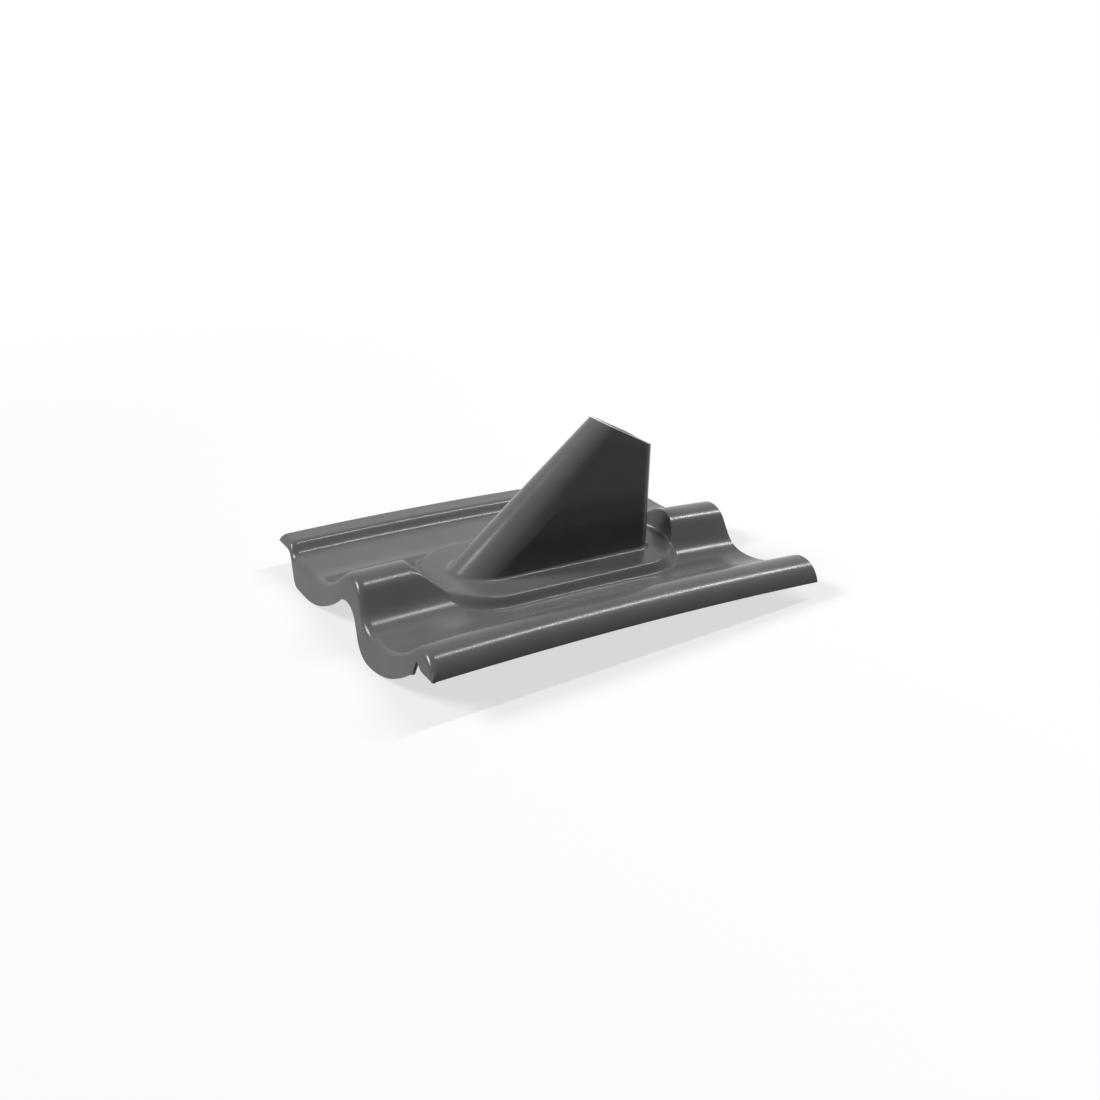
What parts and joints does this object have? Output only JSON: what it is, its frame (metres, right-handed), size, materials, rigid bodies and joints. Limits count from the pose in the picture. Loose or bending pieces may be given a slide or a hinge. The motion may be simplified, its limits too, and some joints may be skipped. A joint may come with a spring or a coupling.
{
  "type": "mast cowl roof tile",
  "caption": "Dark plastic double-wave roof tile with a side rim, cover roll and eave apron, and a raised leaning cowl that leads a mast or cables through the roof.",
  "frame": {"origin": "middle of the bounding box at its lowest level, the hem of the apron", "axes": "+X across the slope from the rim to the roll, +Y up the slope from eave to ridge, +Z out of the roof"},
  "size_m": [0.33, 0.4292, 0.1762],
  "materials": {
    "tile_plastic": "semi-gloss as formed, dark grey"
  },
  "bodies": {
    "root": {"roof_tile": "tile_plastic"}
  },
  "joints": []
}
